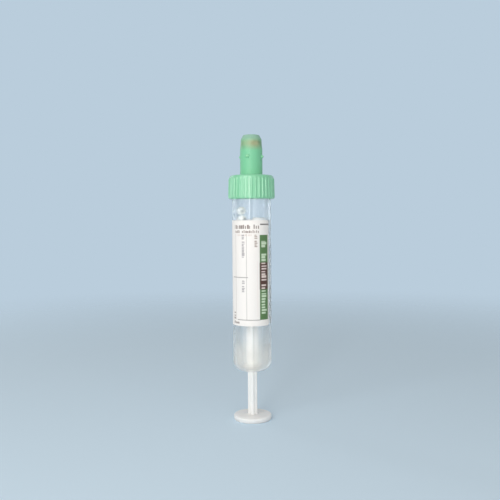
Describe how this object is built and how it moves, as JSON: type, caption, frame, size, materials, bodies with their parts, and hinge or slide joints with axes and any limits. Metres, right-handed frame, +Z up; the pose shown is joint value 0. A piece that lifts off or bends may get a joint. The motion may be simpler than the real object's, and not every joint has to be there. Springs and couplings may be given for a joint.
{
  "type": "blood collection tube",
  "caption": "Syringe-type blood collection tube: clear tube, wrap label, ribbed screw cap with stem and membrane, and a plunger with thumb disc, gel and beads.",
  "frame": {"origin": "middle of the thumb disc's lower face, on which the tube stands", "axes": "+Z up along the tube's axis, -Y towards the front of the label, +X to the right"},
  "size_m": [0.018, 0.018, 0.11],
  "materials": {
    "plunger_plastic": "satin white moulding",
    "seal_rubber": "smooth grey rubber",
    "gel": "cloudy gel",
    "bead_plastic": "satin",
    "clear_plastic": "clear, faintly matt at the base",
    "label_film": "satin film with printed fields",
    "membrane_rubber": "matt brown-grey rubber",
    "cap_plastic": "slightly translucent satin moulding"
  },
  "bodies": {
    "plunger": {"plunger": "plunger_plastic", "gel": "gel", "bead_1": "bead_plastic", "bead_2": "bead_plastic", "bead_3": "bead_plastic", "bead_4": "bead_plastic", "bead_5": "bead_plastic"},
    "seal": {"piston_seal": "seal_rubber"},
    "tube": {"tube": "clear_plastic", "label": "label_film"},
    "stopper": {"membrane_stopper": "membrane_rubber"},
    "cap": {"screw_cap": "cap_plastic"}
  },
  "joints": [
    {"name": "plunger_turn", "type": "hinge", "parent": "plunger", "child": "seal", "pos_m": [0, 0, 0], "axis": [0, 0, 1], "continuous": true},
    {"name": "plunger_pull", "type": "slide", "parent": "seal", "child": "tube", "axis": [0, 0, 1], "range_m": [-0.006, 0.037]},
    {"name": "cap_rise", "type": "slide", "parent": "tube", "child": "stopper", "axis": [0, 0, 1], "range_m": [0, 0.0045]},
    {"name": "cap_turn", "type": "hinge", "parent": "stopper", "child": "cap", "pos_m": [0, 0, 0.09], "axis": [0, 0, 1], "range_deg": [0, 541]}
  ],
  "couplings": [
    {"joint": "cap_turn", "follows": "cap_rise", "rad_per_m": 2094.4}
  ]
}
